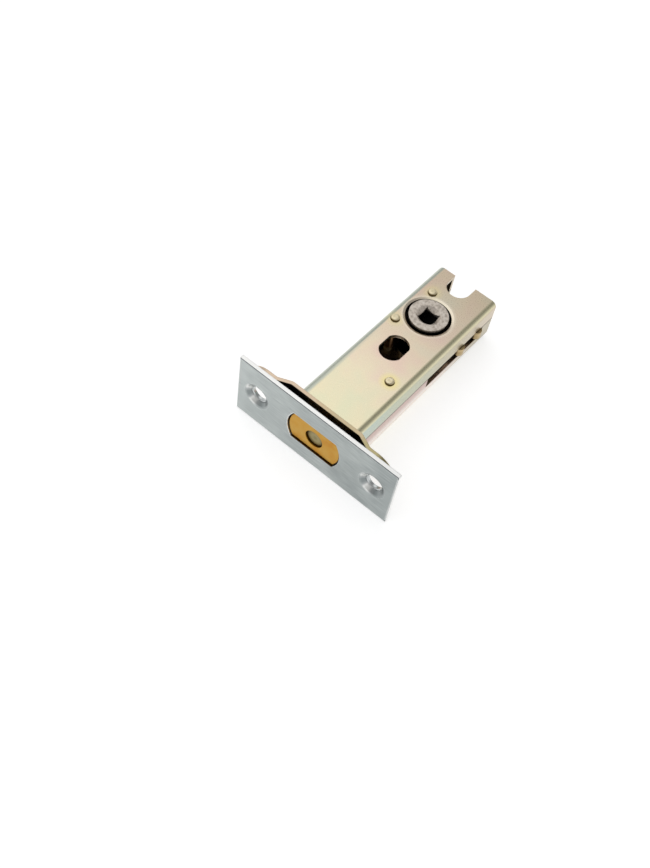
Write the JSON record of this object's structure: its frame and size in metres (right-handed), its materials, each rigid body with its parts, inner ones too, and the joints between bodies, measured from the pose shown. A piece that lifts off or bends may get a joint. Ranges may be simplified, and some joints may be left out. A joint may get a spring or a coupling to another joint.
{
  "type": "tubular deadbolt",
  "caption": "Mortice deadbolt with a flat steel faceplate, a narrow folded case and a flatted brass bolt thrown by a square-socket follower.",
  "frame": {"origin": "centre of the faceplate's outer face, on the bolt's axis and midway between the screw holes", "axes": "+X the way the bolt is thrown, out of the door's edge; +Y along the faceplate, towards the side of the case that has the slot; +Z through the case's broad faces, along the spindle"},
  "size_m": [0.0775, 0.06, 0.025],
  "materials": {
    "satin_steel": "stainless steel, satin ground along its length",
    "passivated_steel": "sheet steel, zinc plated and yellow passivated, with faint rainbow tints",
    "rivet_steel": "steel, zinc plated, heads staked",
    "brass": "sawn and tumbled brass bar",
    "hardened_steel": "hardened steel, dark oiled end",
    "drawbar_steel": "plated sheet steel",
    "cast_zinc": "die-cast zinc, dull and slightly rough",
    "spring_steel": "blued spring steel"
  },
  "bodies": {
    "case_body": {"faceplate": "satin_steel", "inner_forend": "passivated_steel", "upper_case_shell": "passivated_steel", "lower_case_shell": "passivated_steel", "case_rivets": "rivet_steel", "detent_spring": "spring_steel"},
    "bolt_body": {"bolt": "brass", "bolt_core_pin": "hardened_steel", "drawbar": "drawbar_steel", "drawbar_rivets": "drawbar_steel"},
    "follower_body": {"follower": "cast_zinc"}
  },
  "joints": [
    {"name": "follower_turn", "type": "hinge", "parent": "case_body", "child": "follower_body", "pos_m": [-0.057, -0.0012, 0], "axis": [0, 0, -1], "range_deg": [0, 90], "deforming": ["detent_spring"]},
    {"name": "bolt_throw", "type": "slide", "parent": "case_body", "child": "bolt_body", "axis": [1, 0, 0], "range_m": [0, 0.016]}
  ],
  "couplings": [
    {"joint": "bolt_throw", "follows": "follower_turn", "m_per_rad": 0.010186}
  ]
}
